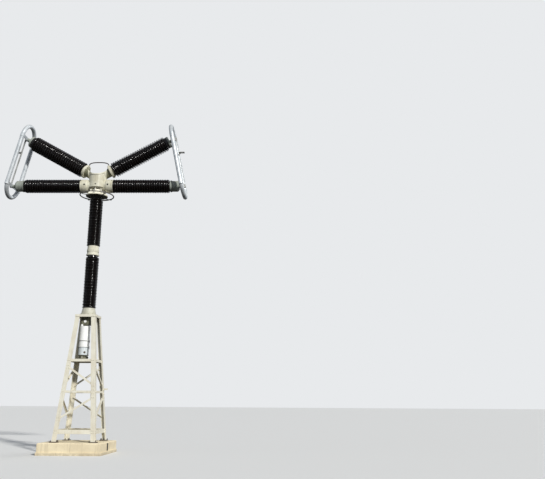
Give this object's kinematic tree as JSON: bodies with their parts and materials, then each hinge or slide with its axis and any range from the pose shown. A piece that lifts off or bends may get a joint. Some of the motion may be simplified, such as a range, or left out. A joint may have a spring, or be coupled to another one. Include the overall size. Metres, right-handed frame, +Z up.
{
  "type": "circuit breaker pole",
  "caption": "Live-tank circuit breaker pole: steel tower on a concrete plinth, porcelain column, horizontal interrupters, rising resistor arms and corona rings.",
  "frame": {"origin": "ground level on the column's axis", "axes": "+Z up, the interrupters lie along X, and the pictured side looks towards -Y"},
  "size_m": [6.196, 1.98, 11.0413],
  "materials": {
    "concrete": "rough cast concrete",
    "tower_paint": "weathered matt paint",
    "flange_paint": "weathered satin paint",
    "cap_paint": "weathered satin paint",
    "housing_white": "satin paint",
    "cover_grey": "satin paint",
    "drive_dark": "dark matt paint",
    "indicator": "gloss",
    "porcelain": "dark brown glaze",
    "ring_aluminium": "weathered bare metal",
    "bar_aluminium": "weathered bare metal",
    "pipe_metal": "dark satin paint"
  },
  "bodies": {
    "root": {"concrete_plinth": "concrete", "leg_front_left": "tower_paint", "leg_front_right": "tower_paint", "leg_rear_left": "tower_paint", "leg_rear_right": "tower_paint", "front_bracing": "tower_paint", "right_bracing": "tower_paint", "rear_bracing": "tower_paint", "left_bracing": "tower_paint", "mechanism_platform": "tower_paint", "tower_top_frame": "tower_paint", "conduit_bracket": "tower_paint", "mechanism_base": "housing_white", "mechanism_lower_cover": "cover_grey", "mechanism_housing": "housing_white", "drive_coupling": "drive_dark", "linkage_housing": "drive_dark", "position_indicator": "indicator", "column_base_flange": "flange_paint", "lower_support_insulator": "porcelain", "column_joint_flange": "flange_paint", "upper_support_insulator": "porcelain", "column_top_flange": "flange_paint", "column_ring": "pipe_metal", "hub_casting": "flange_paint", "interrupter_inner_flange_left": "flange_paint", "interrupter_inner_flange_right": "flange_paint", "interrupter_insulator_left": "porcelain", "interrupter_insulator_right": "porcelain", "interrupter_end_cap_left": "cap_paint", "interrupter_end_cap_right": "cap_paint", "resistor_inner_flange_left": "flange_paint", "resistor_inner_flange_right": "flange_paint", "resistor_insulator_left": "porcelain", "resistor_insulator_right": "porcelain", "resistor_end_flange_left": "cap_paint", "resistor_end_flange_right": "cap_paint", "balance_pipe": "pipe_metal", "corona_ring_left": "ring_aluminium", "corona_ring_right": "ring_aluminium", "terminal_bar_left": "bar_aluminium", "terminal_bar_right": "bar_aluminium"}
  },
  "joints": []
}
